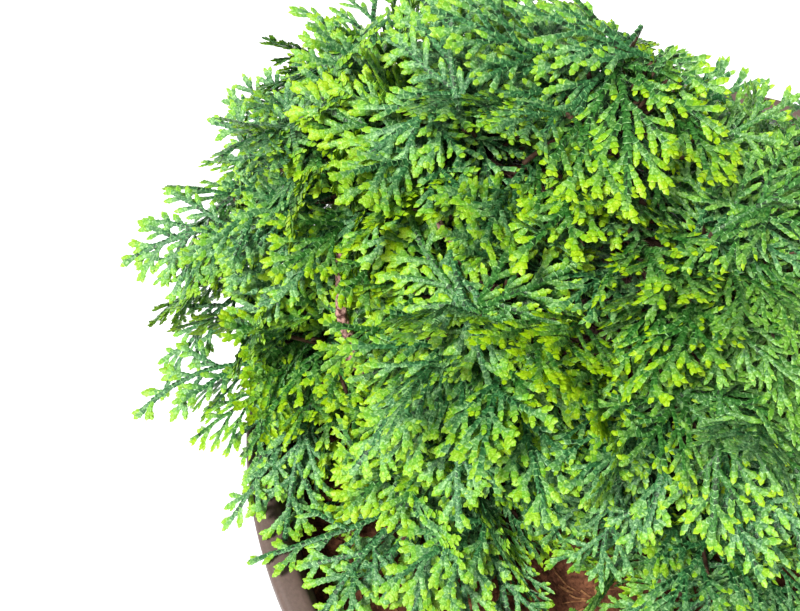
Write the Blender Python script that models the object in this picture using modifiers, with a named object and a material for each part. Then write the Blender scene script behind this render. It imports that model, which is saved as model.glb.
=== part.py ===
"""A dwarf conifer (a Hinoki type false cypress) growing in a round plastic nursery pot.

Every length is in metres. +Z is up, -Y is the front, and the origin is the centre of the pot's underside.
The pot and its soil come first, then the trunk, one bough for each mass of foliage, and the masses.
A mass grows from one stem: a small core, seeded twigs that stand out of it, and fans of scale leaves.
Each fan is a toothed blade. Everything in a mass is fused into one solid that keeps to its own space.
"""

import math
import random

import bmesh
import bpy
from mathutils import Matrix, Vector
from mathutils.bvhtree import BVHTree

# ---------------------------------------------------------------- driving dimensions
SEED = 7
GAP = 0.0003                  # clearance between solids that meet

POT_HEIGHT = 0.205
RIM_RADIUS = 0.130            # outside of the turned-over rim
BASE_RADIUS = 0.100           # outside of the wall at the floor
WALL = 0.0022
FLOOR = 0.0035
LIP_HEIGHT = 0.011            # depth of the turned-over rim
LIP_WIDTH = 0.0055            # how far the rim stands out of the wall
SHOULDER_DROP = 0.045         # stacking shoulder, below the rim
SHOULDER_STEP = 0.0022
POT_SIDES = 36
SOIL_SIDES = 36
DRAIN_COUNT = 6
DRAIN_RADIUS = 0.0065
DRAIN_CIRCLE = 0.074

SOIL_TOP = POT_HEIGHT - 0.021
SOIL_CROWN = 0.003            # the soil stands this much higher at the trunk than at the wall

TRUNK_LENGTH = 0.108
TRUNK_RADIUS = 0.0072
TRUNK_TIP_RADIUS = 0.0024
FLARE_RADIUS = 0.0115
FLARE_HEIGHT = 0.012
TRUNK_TOP_X = -0.040          # the tip leans this far from the foot
TRUNK_TOP_Y = 0.016

CROWN_X = -0.030              # centre of the crown's rings
CROWN_Y = 0.018
CROWN_TURN = math.radians(-20)  # the crown's long side turns this far from the X axis
CROWN_SLOPE = 0.10            # the crown falls by this share of the way to its right
OPEN_SIDE = math.radians(-115)  # here the low masses stand back, so the soil shows in front of them
OPEN_DEPTH = 0.16             # how far back, as a share of their way out
OPEN_DROP = 0.004             # and how much lower
FLAT_WAY = Vector((0.41, 0.58, 0.70)).normalized()  # the crown is flattened on this side
FLAT_LIMIT = 0.225            # no foliage stands further along that way, measured from the pot's foot
BACK_SIDE = math.radians(100)  # here the upper masses stand back and lower too
BACK_DEPTH = 0.15
BACK_DROP = 0.009
REACH = 0.050                 # from a mass's middle to its furthest leaf tips
SPACE_MARGIN = 0.0006         # what each mass keeps clear of its neighbours' space
SOIL_CLEAR = 0.002

# One row a ring of masses: name, count, ring's half widths in X and Y, height above the rim,
# lowest and highest foot of its boughs above the soil, the boughs' radius at the foot, and how many
# places up the trunk each bough starts from the one before it.
RINGS = (
    ("low", 10, 0.092, 0.055, 0.018, 0.007, 0.038, 0.0027, 3),
    ("middle", 8, 0.066, 0.040, 0.054, 0.045, 0.067, 0.0023, 3),
    ("upper", 4, 0.036, 0.025, 0.083, 0.074, 0.090, 0.0020, 1),
)
RING_TURN = {"low": 0.2, "middle": 0.5, "upper": 0.3}
TOP_HEIGHT = 0.096            # middle of the top mass above the rim
BOUGH_POINTS = 5
HEART_DEPTH = 0.012           # every mass faces away from a point this far below the rim

CORE_RADIUS = 0.20            # the next three are shares of the mass's reach
TWIG_LENGTH = 0.48
FAN_LENGTH = 0.68
TWIG_RINGS = ((6, 0.25), (3, 1.2))  # twigs in each ring, and how far they lean outwards
TWIG_SIZES = (1, 0.72)        # tried in turn
TWIG_RADIUS = 0.0010
STEM_RADIUS = 0.0015
STEM_CLEAR = 0.0009           # from the bough's tip to the stem's foot
SPRAY_FANS = ((1, 0), (0.85, 52), (0.62, -52))  # place along the twig and turn off it, in degrees
FAN_SIZES = (1, 0.82, 0.66, 0.54)  # tried in turn
FAN_ROLLS = (14, -14, 34, -34)  # degrees
FACE_UP = 0.45                  # how far the fans turn their faces from outwards to upwards
FAN_LOBES = 4
FAN_SPREAD = math.radians(44)   # the outer lobes stand this far off the fan's middle line
FAN_ROUNDING = 0.28             # the outer lobes are this share shorter
NOTCH = 0.72
FAN_THICKNESS = 0.035           # share of the fan's length, in its middle
FAN_CUP = 0.12

GREEN = (0.10, 0.32, 0.035, 1)
BARK = (0.20, 0.12, 0.085, 1)
TAUPE = (0.16, 0.115, 0.095, 1)
PEAT = (0.085, 0.042, 0.022, 1)

UP = Vector((0, 0, 1))


# ---------------------------------------------------------------- small helpers
def clear_scene():
    for obj in list(bpy.data.objects):
        bpy.data.objects.remove(obj)


def collection(name, shown=True):
    made = bpy.data.collections.new(name)
    bpy.context.scene.collection.children.link(made)
    made.hide_render = not shown
    return made


def material(name, colour, roughness):
    made = bpy.data.materials.new(name)
    made.use_nodes = True
    shader = made.node_tree.nodes["Principled BSDF"]
    shader.inputs["Base Color"].default_value = colour
    shader.inputs["Roughness"].default_value = roughness
    return made


def mesh_object(name, shape, where, finish=None):
    """An object made of a bmesh, which is freed."""
    mesh = bpy.data.meshes.new(name)
    shape.to_mesh(mesh)
    shape.free()
    made = bpy.data.objects.new(name, mesh)
    where.objects.link(made)
    if finish:
        mesh.materials.append(finish)
    return made


def seeded(*words):
    return random.Random(" ".join(str(word) for word in (SEED, *words)))


def turned(name, profile, sides, where, finish):
    """A solid of revolution. The profile starts and ends on the axis and comes down the outside."""
    mesh = bpy.data.meshes.new(name)
    points = [(radius, 0, height) for radius, height in profile]
    mesh.from_pydata(points, [(i, i + 1) for i in range(len(points) - 1)], [])
    made = bpy.data.objects.new(name, mesh)
    where.objects.link(made)
    screw = made.modifiers.new("Turn", "SCREW")
    screw.steps = screw.render_steps = sides
    screw.use_merge_vertices = True
    screw.merge_threshold = 0.00001
    mesh.materials.append(finish)
    return made


def realised(obj, name, where):
    """The object as a plain mesh object, modifiers applied and coincident points made one."""
    bpy.context.view_layer.update()
    graph = bpy.context.evaluated_depsgraph_get()
    mesh = bpy.data.meshes.new_from_object(obj.evaluated_get(graph))
    shape = bmesh.new()
    shape.from_mesh(mesh)
    bmesh.ops.remove_doubles(shape, verts=shape.verts, dist=0.00001)
    shape.to_mesh(mesh)
    shape.free()
    stand = obj.matrix_world.copy()
    bpy.data.objects.remove(obj)
    made = bpy.data.objects.new(name, mesh)
    made.matrix_world = stand
    where.objects.link(made)
    return made


def surface_tree(obj):
    graph = bpy.context.evaluated_depsgraph_get()
    return BVHTree.FromObject(obj, graph)


def shape_tree(shape):
    shape.normal_update()
    return BVHTree.FromBMesh(shape)


# ---------------------------------------------------------------- pot and soil
def wall_radius(height):
    """Outside of the pot's wall, without its rim and shoulder."""
    share = height / POT_HEIGHT
    return BASE_RADIUS + (RIM_RADIUS - LIP_WIDTH - BASE_RADIUS) * share


def build_pot(where, cutters, finish):
    shoulder = POT_HEIGHT - SHOULDER_DROP
    lip = POT_HEIGHT - LIP_HEIGHT
    round_over = 0.0016
    profile = [
        (0, FLOOR),
        (wall_radius(FLOOR) - WALL - 0.004, FLOOR),
        (wall_radius(FLOOR) - WALL, FLOOR + 0.004),
        (wall_radius(shoulder) - WALL - SHOULDER_STEP, shoulder - 0.002),
        (wall_radius(shoulder) - WALL, shoulder),
        (wall_radius(POT_HEIGHT) - WALL, POT_HEIGHT - round_over),
        (wall_radius(POT_HEIGHT) - WALL + round_over, POT_HEIGHT),
        (RIM_RADIUS - round_over, POT_HEIGHT),
        (RIM_RADIUS, POT_HEIGHT - round_over),
        (RIM_RADIUS, lip),
        (wall_radius(lip), lip - 0.001),
        (wall_radius(shoulder), shoulder),
        (wall_radius(shoulder) - SHOULDER_STEP, shoulder - 0.002),
        (BASE_RADIUS, 0.004),
        (BASE_RADIUS - 0.003, 0),
        (0, 0),
    ]
    pot = turned("pot", profile, POT_SIDES, where, finish)
    for index in range(DRAIN_COUNT):
        angle = 2 * math.pi * (index + 0.5) / DRAIN_COUNT
        shape = bmesh.new()
        bmesh.ops.create_cone(
            shape, cap_ends=True, segments=8, radius1=DRAIN_RADIUS, radius2=DRAIN_RADIUS, depth=4 * FLOOR,
            matrix=Matrix.Translation((DRAIN_CIRCLE * math.cos(angle), DRAIN_CIRCLE * math.sin(angle), 0)),
        )
        cutter = mesh_object(f"cut_drain_{index + 1}", shape, cutters)
        cutter.hide_render = True
        cutter.display_type = "WIRE"
    drains = pot.modifiers.new("Drains", "BOOLEAN")
    drains.operation = "DIFFERENCE"
    drains.operand_type = "COLLECTION"
    drains.collection = cutters
    return pot


def build_soil(where, finish):
    inside = WALL + SHOULDER_STEP + 2 * GAP
    shoulder = POT_HEIGHT - SHOULDER_DROP
    profile = [
        (0, SOIL_TOP),
        (0.025, SOIL_TOP),
        (0.070, SOIL_TOP - 0.4 * SOIL_CROWN),
        (wall_radius(SOIL_TOP) - WALL - 2 * GAP, SOIL_TOP - SOIL_CROWN),
        (wall_radius(shoulder) - WALL - 2 * GAP, shoulder + 0.002),
        (wall_radius(shoulder) - inside, shoulder - 0.003),
        (wall_radius(FLOOR) - inside, FLOOR + 0.006),
        (wall_radius(FLOOR) - inside - 0.005, FLOOR + GAP),
        (0, FLOOR + GAP),
    ]
    return turned("soil", profile, SOIL_SIDES, where, finish)


# ---------------------------------------------------------------- trunk and boughs
def trunk_point(share):
    """A point on the trunk's axis, from its foot at 0 to its tip at 1. It leans more as it rises."""
    lean = share ** 1.4
    return Vector((TRUNK_TOP_X * lean, TRUNK_TOP_Y * lean, SOIL_TOP + GAP + TRUNK_LENGTH * share))


def trunk_radius(share):
    flare = (FLARE_RADIUS - TRUNK_RADIUS) * max(0, 1 - share * TRUNK_LENGTH / FLARE_HEIGHT) ** 2
    return TRUNK_RADIUS + (TRUNK_TIP_RADIUS - TRUNK_RADIUS) * share + flare


def limb(name, points, radii, bevel_steps, where, finish=None):
    """A tapering limb: a curve whose bevel follows the radius of each of its points."""
    curve = bpy.data.curves.new(name, "CURVE")
    curve.dimensions = "3D"
    curve.bevel_depth = 1
    curve.bevel_resolution = bevel_steps
    curve.use_fill_caps = True
    spline = curve.splines.new("POLY")
    spline.points.add(len(points) - 1)
    for spot, point, radius in zip(spline.points, points, radii):
        spot.co = (*point, 1)
        spot.radius = radius
    made = bpy.data.objects.new(name, curve)
    where.objects.link(made)
    if finish:
        curve.materials.append(finish)
    return made


def build_trunk(name, where, grown=0, finish=None):
    """The trunk, or with grown set, the same shape that much thicker all round."""
    shares = [0, 0.05, 0.12, 0.3, 0.5, 0.75, 1]
    points = [trunk_point(share) for share in shares]
    points[1].xy = points[0].xy
    radii = [trunk_radius(share) + grown for share in shares]
    if grown:
        points[0] -= grown * UP
        points[-1] += grown * UP
    return realised(limb(name, points, radii, 3, where, finish), name, where)


def bough_points(foot, tip):
    """Five points of a bough that leaves the trunk rising and then bends outwards to its tip."""
    out = tip - foot
    knee = foot + 0.45 * Vector((out.x, out.y, 0)) + (0.25 * out.xy.length + 0.6 * max(out.z, 0)) * UP
    found = []
    for step in range(BOUGH_POINTS):
        share = step / (BOUGH_POINTS - 1)
        found.append((1 - share) ** 2 * foot + 2 * share * (1 - share) * knee + share ** 2 * tip)
    return found


def build_bough(mass, where, cutter, finish):
    """One limb from inside the trunk to its mass, cut back clear of the trunk."""
    points = bough_points(mass["foot"], mass["tip"])
    taper = [1 - 0.5 * step / (BOUGH_POINTS - 1) for step in range(BOUGH_POINTS)]
    radii = [mass["bough_radius"] * share for share in taper]
    name = mass["name"].replace("foliage", "bough")
    made = realised(limb(name, points, radii, 1, where, finish), name, where)
    trim = made.modifiers.new("Clear of trunk", "BOOLEAN")
    trim.operation = "DIFFERENCE"
    trim.object = cutter
    return made


# ---------------------------------------------------------------- where the masses stand
def plan_masses():
    """Name, middle, outward direction and bough of each mass, ring by ring."""
    rim = POT_HEIGHT
    found = []
    for ring, count, wide, deep, height, low_foot, high_foot, radius, stride in RINGS:
        for index in range(count):
            rng = seeded(ring, index)
            angle = 2 * math.pi * (index + RING_TURN[ring] + rng.uniform(-0.12, 0.12)) / count
            away = rng.uniform(0.93, 1.06)
            side = Vector((away * wide * math.cos(angle), away * deep * math.sin(angle), 0))
            side = Matrix.Rotation(CROWN_TURN, 3, "Z") @ side
            facing = math.atan2(side.y, side.x)
            opened = (ring == "low") * max(0, math.cos(facing - OPEN_SIDE)) ** 6
            behind = (ring == "upper") * max(0, math.cos(facing - BACK_SIDE)) ** 6
            side = side * (1 - OPEN_DEPTH * opened - BACK_DEPTH * behind)
            side -= (OPEN_DROP * opened + BACK_DROP * behind) * UP
            middle = Vector((CROWN_X, CROWN_Y, rim + height + rng.uniform(-0.005, 0.005))) + side
            middle.z -= CROWN_SLOPE * side.x * (ring != "low")
            share = (low_foot + (high_foot - low_foot) * (index * stride % count) / count) / TRUNK_LENGTH
            found.append({
                "name": f"foliage_{ring}_{index + 1}",
                "middle": middle,
                "foot": trunk_point(share),
                "bough_radius": radius,
            })
    found.append({
        "name": "foliage_top",
        "middle": Vector((TRUNK_TOP_X, TRUNK_TOP_Y, rim + TOP_HEIGHT)),
        "foot": None,
    })
    heart = Vector((CROWN_X, CROWN_Y, rim - HEART_DEPTH))
    for mass in found:
        mass["out"] = (mass["middle"] - heart).normalized()
        if mass["foot"]:
            inward = (mass["foot"] - mass["middle"]).normalized()
            mass["tip"] = mass["middle"] + (CORE_RADIUS * REACH + 0.004) * inward
        else:
            mass["tip"] = trunk_point(1)
    return found


# ---------------------------------------------------------------- the pieces of a mass
def square_to(along, outward):
    """The part of an outward direction that is square to another one, as a unit vector."""
    return (outward - outward.dot(along) * along).normalized()


def twig_shape(start, end, radius_start, radius_end):
    """A three-sided tapering twig."""
    shape = bmesh.new()
    along = end - start
    turn = along.to_track_quat("Z", "Y").to_matrix().to_4x4()
    bmesh.ops.create_cone(
        shape, cap_ends=True, segments=3, radius1=radius_start, radius2=radius_end, depth=along.length,
        matrix=Matrix.Translation((start + end) / 2) @ turn,
    )
    return shape


def fan_outline():
    """The toothed edge of a fan of unit length and half width: its root, then a lobe and a notch in turn."""
    points = [(0, 0)]
    steps = 2 * (FAN_LOBES - 1)
    for step in range(steps + 1):
        across = 2 * step / steps - 1
        reach = (1 if step % 2 == 0 else NOTCH) * (1 - FAN_ROUNDING * across ** 2)
        points.append((reach * math.cos(across * FAN_SPREAD), reach * math.sin(across * FAN_SPREAD)))
    return points


def fan_shape(root, along, normal, length):
    """A toothed blade, thick in the middle and thin at its edge, cupped a little to its underside."""
    shape = bmesh.new()
    half = FAN_THICKNESS / 2 * length
    middle = 0.42 * length
    edge = [shape.verts.new((x * length, y * length, -FAN_CUP * x * x * length)) for x, y in fan_outline()]
    sag = FAN_CUP * middle * middle / length
    top = shape.verts.new((middle, 0, half - sag))
    under = shape.verts.new((middle, 0, -half - sag))
    for index, point in enumerate(edge):
        following = edge[(index + 1) % len(edge)]
        shape.faces.new((top, point, following))
        shape.faces.new((under, following, point))
    side = normal.cross(along)
    turn = Matrix((along, side, normal)).transposed().to_4x4()
    shape.transform(Matrix.Translation(root) @ turn)
    return shape


def core_shape(mass):
    """The small lumpy heart of a mass, which its twigs stand out of."""
    rng = seeded(mass["name"], "core")
    shape = bmesh.new()
    bmesh.ops.create_icosphere(shape, subdivisions=1, radius=1)
    for vert in shape.verts:
        vert.co = mass["middle"] + vert.co * CORE_RADIUS * REACH * rng.uniform(0.8, 1.1)
    return shape


def twig_directions(mass, rng):
    """Directions of a mass's twigs: rings of them that lean further and further outwards."""
    out = mass["out"]
    side = out.orthogonal().normalized()
    found = []
    for count, lean in TWIG_RINGS:
        start = rng.uniform(0, 2 * math.pi)
        for index in range(count):
            turn = start + 2 * math.pi * (index + rng.uniform(-0.12, 0.12)) / count
            ring = Matrix.Rotation(turn, 3, out) @ side
            found.append((ring + (lean + rng.uniform(-0.12, 0.12)) * out).normalized())
    return found


class Space:
    """What a mass may fill: its own cell of the crown, clear of the limbs, the pot and its other fans."""

    def __init__(self, mass, masses, solids):
        self.mass = mass
        self.others = [other for other in masses if other is not mass]
        self.solids = solids
        self.fans = []

    def holds_point(self, point):
        """Whether a point is nearer this mass's middle than any other's, and within the crown."""
        middle = self.mass["middle"]
        if (point - middle).length > REACH or point.z < SOIL_TOP + SOIL_CLEAR:
            return False
        if point.dot(FLAT_WAY) > FLAT_LIMIT:
            return False
        for other in self.others:
            apart = other["middle"] - middle
            if (point - middle).dot(apart.normalized()) > apart.length / 2 - SPACE_MARGIN:
                return False
        return True

    def holds(self, shape):
        if not all(self.holds_point(vert.co) for vert in shape.verts):
            return False
        tree = shape_tree(shape)
        return not any(tree.overlap(solid) for solid in self.solids)

    def takes_fan(self, shape):
        """Keeps a fan if the space holds it and it crosses none of the fans before it."""
        if not self.holds(shape):
            return False
        tree = shape_tree(shape)
        if any(tree.overlap(fan) for fan in self.fans):
            return False
        self.fans.append(tree)
        return True


def grow_fan(space, root, along, normal, rng):
    """One fan, turned and then shortened until it fits, or None."""
    for size in FAN_SIZES:
        for roll in FAN_ROLLS:
            turned_by = math.radians(roll + rng.uniform(-8, 8))
            face = Matrix.Rotation(turned_by, 3, along) @ normal
            shape = fan_shape(root, along, face, size * FAN_LENGTH * REACH * rng.uniform(0.92, 1.06))
            if space.takes_fan(shape):
                return shape
            shape.free()
    return None


def grow_spray(space, direction, rng):
    """One twig from the mass's middle, with a fan at its end and one on each side of it."""
    middle = space.mass["middle"]
    outward = space.mass["out"] + FACE_UP * UP
    normal = square_to(direction, outward)
    for share in TWIG_SIZES:
        pieces = []
        length = share * TWIG_LENGTH * REACH * rng.uniform(0.85, 1.1)
        for place, turn in SPRAY_FANS:
            along = Matrix.Rotation(math.radians(turn + rng.uniform(-7, 7)), 3, normal) @ direction
            along = (along - 0.1 * UP).normalized()
            root = middle + direction * place * length - along * TWIG_RADIUS * (3 if turn == 0 else 0.6)
            fan = grow_fan(space, root, along, square_to(along, normal), rng)
            if fan:
                pieces.append(fan)
        twig = twig_shape(middle, middle + direction * length, 1.3 * TWIG_RADIUS, 0.8 * TWIG_RADIUS)
        if pieces and space.holds(twig):
            return [twig, *pieces]
        for shape in (twig, *pieces):
            shape.free()
    return []


def build_mass(mass, masses, solids, where, workshop, finish):
    """Grows one mass and fuses it. Whatever would leave its space or touch a limb is skipped."""
    rng = seeded(mass["name"])
    base = mesh_object(mass["name"], core_shape(mass), where, finish)
    space = Space(mass, masses, solids)
    stem = (mass["middle"] - mass["tip"]).normalized()
    pieces = [twig_shape(mass["tip"] + STEM_CLEAR * stem, mass["middle"], STEM_RADIUS, TWIG_RADIUS)]
    for direction in twig_directions(mass, rng):
        pieces.extend(grow_spray(space, direction, rng))
    for index, shape in enumerate(pieces):
        mesh_object(f"piece_{index}", shape, workshop)
    fuse(base, workshop)
    return base


def fuse(base, workshop):
    """Joins everything in the workshop collection to the base with one union, and empties it."""
    union = base.modifiers.new("Fuse", "BOOLEAN")
    union.operation = "UNION"
    union.operand_type = "COLLECTION"
    union.collection = workshop
    union.solver = "EXACT"
    bpy.context.view_layer.update()
    graph = bpy.context.evaluated_depsgraph_get()
    mesh = bpy.data.meshes.new_from_object(base.evaluated_get(graph))
    base.modifiers.clear()
    base.data = mesh
    for piece in list(workshop.objects):
        bpy.data.objects.remove(piece)
    keep_outer_shell(mesh)


def keep_outer_shell(mesh):
    """Leaves only the largest closed surface: a loose scrap goes, and a sealed hollow is filled."""
    shape = bmesh.new()
    shape.from_mesh(mesh)
    bmesh.ops.triangulate(shape, faces=shape.faces)
    waiting = set(shape.faces)
    shells = []
    while waiting:
        stack = [waiting.pop()]
        shell = []
        while stack:
            face = stack.pop()
            shell.append(face)
            for edge in face.edges:
                for neighbour in edge.link_faces:
                    if neighbour in waiting:
                        waiting.remove(neighbour)
                        stack.append(neighbour)
        shells.append(shell)
    shells.sort(key=lambda shell: -sum(volume_under(face) for face in shell))
    for shell in shells[1:]:
        bmesh.ops.delete(shape, geom=shell, context="FACES")
    loose = [vert for vert in shape.verts if not vert.link_faces]
    bmesh.ops.delete(shape, geom=loose, context="VERTS")
    shape.to_mesh(mesh)
    shape.free()


def volume_under(face):
    a, b, c = (vert.co for vert in face.verts)
    return a.dot(b.cross(c)) / 6


# ---------------------------------------------------------------- the whole plant
def main():
    clear_scene()
    plant = collection("potted_conifer")
    cutters = collection("cutters", shown=False)
    drains = collection("drain_cutters", shown=False)
    workshop = collection("workshop", shown=False)
    green = material("foliage", GREEN, 0.6)
    bark = material("bark", BARK, 0.9)

    pot = build_pot(plant, drains, material("pot", TAUPE, 0.5))
    build_soil(plant, material("soil", PEAT, 0.95))
    trunk = build_trunk("trunk", plant, finish=bark)
    cutter = build_trunk("cut_trunk", cutters, grown=GAP)
    cutter.hide_render = True
    cutter.display_type = "WIRE"

    masses = plan_masses()
    wood = [trunk]
    for mass in masses:
        if mass["foot"]:
            wood.append(build_bough(mass, plant, cutter, bark))
    bpy.context.view_layer.update()
    solids = [surface_tree(obj) for obj in (pot, *wood)]
    for mass in masses:
        build_mass(mass, masses, solids, plant, workshop, green)
    bpy.data.collections.remove(workshop)


main()
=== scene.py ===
"""Looks for the potted dwarf conifer: its fans of scale leaves, bark, peat and plastic pot.

Lengths are in metres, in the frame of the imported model. The plan of the crown is the one that its
solids were made from. Where a solid has a toothed blade, a spray of leafy shoots grows from the
same root, with the same facing and length, and finer sprays fill the room between them. A shoot is
a row of wedges, one for each pair of scale leaves, and its newest leaves are lime.
"""

import random
from math import atan2, cos, exp, hypot, pi, radians, sin, sqrt
from types import SimpleNamespace

import bmesh
import bpy
import numpy as np
from mathutils import Matrix, Vector, noise
from mathutils.bvhtree import BVHTree


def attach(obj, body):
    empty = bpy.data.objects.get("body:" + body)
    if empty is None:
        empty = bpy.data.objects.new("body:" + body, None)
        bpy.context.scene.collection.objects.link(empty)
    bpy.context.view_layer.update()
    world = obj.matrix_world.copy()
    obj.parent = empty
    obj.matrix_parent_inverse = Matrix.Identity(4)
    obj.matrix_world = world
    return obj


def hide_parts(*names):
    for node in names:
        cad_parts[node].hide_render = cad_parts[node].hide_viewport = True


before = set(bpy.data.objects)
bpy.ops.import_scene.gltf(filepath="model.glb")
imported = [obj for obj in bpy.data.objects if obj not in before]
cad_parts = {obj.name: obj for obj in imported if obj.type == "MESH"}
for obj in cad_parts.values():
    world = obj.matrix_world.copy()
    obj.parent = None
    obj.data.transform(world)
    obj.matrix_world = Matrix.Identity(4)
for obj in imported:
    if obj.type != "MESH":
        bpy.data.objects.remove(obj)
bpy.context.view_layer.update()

scene = bpy.context.scene
UP = Vector((0, 0, 1))
ROUND = 2 * pi

# ------ the plan that the solids have too
SEED = 7
GAP = 0.0003
POT_HEIGHT = 0.205
RIM_RADIUS = 0.130
BASE_RADIUS = 0.100
WALL = 0.0022
FLOOR = 0.0035
LIP_HEIGHT = 0.011
LIP_WIDTH = 0.0055
SHOULDER_DROP = 0.045
SHOULDER_STEP = 0.0022
SHOULDER = POT_HEIGHT - SHOULDER_DROP
SOIL_TOP = POT_HEIGHT - 0.021
SOIL_CROWN = 0.003

TRUNK_LENGTH = 0.108
TRUNK_RADIUS = 0.0072
TRUNK_TIP_RADIUS = 0.0024
FLARE_RADIUS = 0.0115
FLARE_HEIGHT = 0.012
TRUNK_TOP_X = -0.040
TRUNK_TOP_Y = 0.016
TRUNK_LEAN = 1.4  # above 1 it leans more towards its top
KNEE_OUT = 0.45  # a bough's bend: how far out, and its rise by the bough's own reach and rise
KNEE_RISE = 0.25
KNEE_LIFT = 0.6

CROWN_X = -0.030
CROWN_Y = 0.018
CROWN_TURN = radians(-20)
CROWN_SLOPE = 0.10
OPEN_SIDE = radians(-115)  # the low masses stand back and hang here, so that the peat shows
OPEN_DEPTH = 0.16
OPEN_DROP = 0.004
BACK_SIDE = radians(100)  # and the upper ones here
BACK_DEPTH = 0.15
BACK_DROP = 0.009
SIDE_POWER = 6  # how sharply both end on each side
FLAT_WAY = Vector((0.41, 0.58, 0.70)).normalized()  # the crown is cut flat this way, this far out
FLAT_LIMIT = 0.225
REACH = 0.050
SPACE_MARGIN = 0.0006
SOIL_CLEAR = 0.002
TURN_JITTER = 0.12
AWAY_JITTER = (0.93, 1.06)
HEIGHT_JITTER = 0.005
# Name, number of masses, half the ring's width and depth, height over the rim, lowest and highest
# foot of its boughs on the trunk, their radius, the stride in which the feet are dealt, turn.
RINGS = (
    ("low", 10, 0.092, 0.055, 0.018, 0.007, 0.038, 0.0027, 3, 0.2),
    ("middle", 8, 0.066, 0.040, 0.054, 0.045, 0.067, 0.0023, 3, 0.5),
    ("upper", 4, 0.036, 0.025, 0.083, 0.074, 0.090, 0.0020, 1, 0.3),
)
TOP_HEIGHT = 0.096
HEART_DEPTH = 0.012  # the masses face away from a point this far under the rim

CORE_RADIUS = 0.20  # the first lengths of a mass are shares of its reach
CORE_CLEAR = 0.004
TWIG_LENGTH = 0.48
TWIG_JITTER = (0.85, 1.1)
FAN_LENGTH = 0.68
FAN_JITTER = (0.92, 1.06)
TWIG_RINGS = ((6, 0.25), (3, 1.2))  # twigs of each ring, and how far they lean outwards
TWIG_SIZES = (1, 0.72)
TWIG_RADIUS = 0.0010
STEM_RADIUS = 0.0015
SPRAY_FANS = ((1, 0), (0.85, 52), (0.62, -52))  # place on the twig and turn of each fan
SPRAY_TURN = 7
END_SET_BACK = 3  # how many twig radii a fan's root is set back, at the twig's end
SIDE_SET_BACK = 0.6  # and beside it
FAN_DROOP = 0.1
FAN_SIZES = (1, 0.82, 0.66, 0.54)
FAN_ROLLS = (14, -14, 34, -34)
ROLL_JITTER = 8
FACE_UP = 0.45
FAN_LOBES = 4
FAN_SPREAD = radians(44)
FAN_ROUNDING = 0.28
NOTCH = 0.72
FAN_THICKNESS = 0.035
FAN_CUP = 0.12
FAN_HUB = 0.42  # how far along it the blade is thickest

# ------ sizes of what the scene adds
LEAF_PITCH = 0.00135  # from one pair of scale leaves to the next
INNER_PITCH = 0.0021  # the same on the sprays that little is seen of
SHOOT_WIDTH = 0.00132
SHOOT_HEIGHT = 0.00062
# Tries, shortest and longest, nearest and furthest root, spread, room between two, how far they may
# cross into the next mass, and roll in degrees.
FILLINGS = (
    (170, 0.036, 0.050, 0.02, 0.24, 0.8, 0.0095, 0.012, 17),
    (170, 0.028, 0.038, 0.20, 0.46, 1.5, 0.0095, 0.014, 24),
    (120, 0.015, 0.024, 0.15, 0.50, 1.5, 0.0090, 0.008, 40),
)
FILLING_SIZES = (1, 0.85, 0.7)
FILLING_OUT = 0.9  # how much most of them turn outwards
FILLING_AWAY = 1.1  # how much they lean away from the trunk
FILLING_DROOP = 0.12
HOLLOW_SIZE = 0.026  # fillings are left out in patches of this size, which makes dark hollows
HOLLOW_LIMIT = -0.17
FULL_REACH = (0.84, 1.0)  # how far most fillings reach, as a share of the mass's reach
LEADER_SHARE = 0.12  # some grow past the others
LEADER_REACH = 1.08
SPRAY_MIDDLE = 0.55  # where along it the middle of a spray is
SPRAY_WIDTH = 0.7  # against a solid fan's
# Each ROOM is the sizes that are tried, the room between two sprays, how far they may cross into
# the next mass, and their furthest reach as a share of the mass's.
COVER_TRIES = 60
COVER_OUT = (0.16, 0.50)
COVER_BACK = (0.05, 0.34)
COVER_RISE = (-0.05, 0.55)
COVER_ROLL = 20
COVER_LENGTH = (0.024, 0.038)
COVER_ROOM = ((1, 0.8), 0.0095, 0.010)
TUFT_TRIES = 14
TUFT_ROOT = (0.02, 0.18)
TUFT_LENGTH = (0.014, 0.026)
TUFT_ROOM = ((1, 0.75), 0.007, 0.006)
LOW_DEPTH = 0.006  # how far the fillings of the low masses hang below their middles
OPEN_LIMIT = 0.010  # how far they stand out on the open side
OPEN_RISE = 1.8  # how much more with their height
OPEN_KEPT = 0.04  # this share of the others is kept
CLOSED_LIMIT = 0.012  # how much more where the crown isn't held open
SKIRT_TRIES = 120
SKIRT_TURN = 1.25
SKIRT_OUT = (0.006, 0.024)
SKIRT_DOWN = (0.003, 0.012)
SKIRT_FALL = (-0.12, 0.50)
SKIRT_ROLL = 20
SKIRT_LENGTH = (0.030, 0.044)
SKIRT_ROOM = ((1, 0.9, 0.8), 0.0125, 0.020, 1.2)
HUNG_FALL = 0.010  # how far below its mass's middle a hanging spray may point
HUNG_SHARE = 0.8  # its longest, as a share of the way to its tip
STEM_THICKENED = 1.2  # a stem's end against a twig
TWIG_TAPER = (0.75, 0.55)  # both ends of a twig, against its solid's radius
FILLING_TWIG = (0.0006, 0.0005)
FILLING_TWIG_FOOT = 0.25  # where it starts, as a share of the way to the spray
PIECE_TRIANGLES = 190000

# How much more or less some masses have grown this season, which makes their tips limer or darker.
MASS_VIGOUR = {
    "foliage_top": 0.25,
    "foliage_upper_1": -0.35, "foliage_upper_2": 0.20, "foliage_upper_3": 0.20,
    "foliage_upper_4": -0.30,
    "foliage_middle_3": 0.15, "foliage_middle_6": 0.25, "foliage_middle_7": -0.30,
    "foliage_middle_8": -0.40, "foliage_low_6": 0.20, "foliage_low_7": 0.30, "foliage_low_8": 0.15,
    "foliage_low_9": -0.30, "foliage_low_10": -0.30,
}
# Painted shade on the side away from the key lamp: from this X on, and fully so far further, the
# sprays have less vigour, so less lime.
SIDE_SHADE_FROM = -0.040
SIDE_SHADE_OVER = 0.030
SIDE_SHADE_LOSS = 0.45
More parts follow.
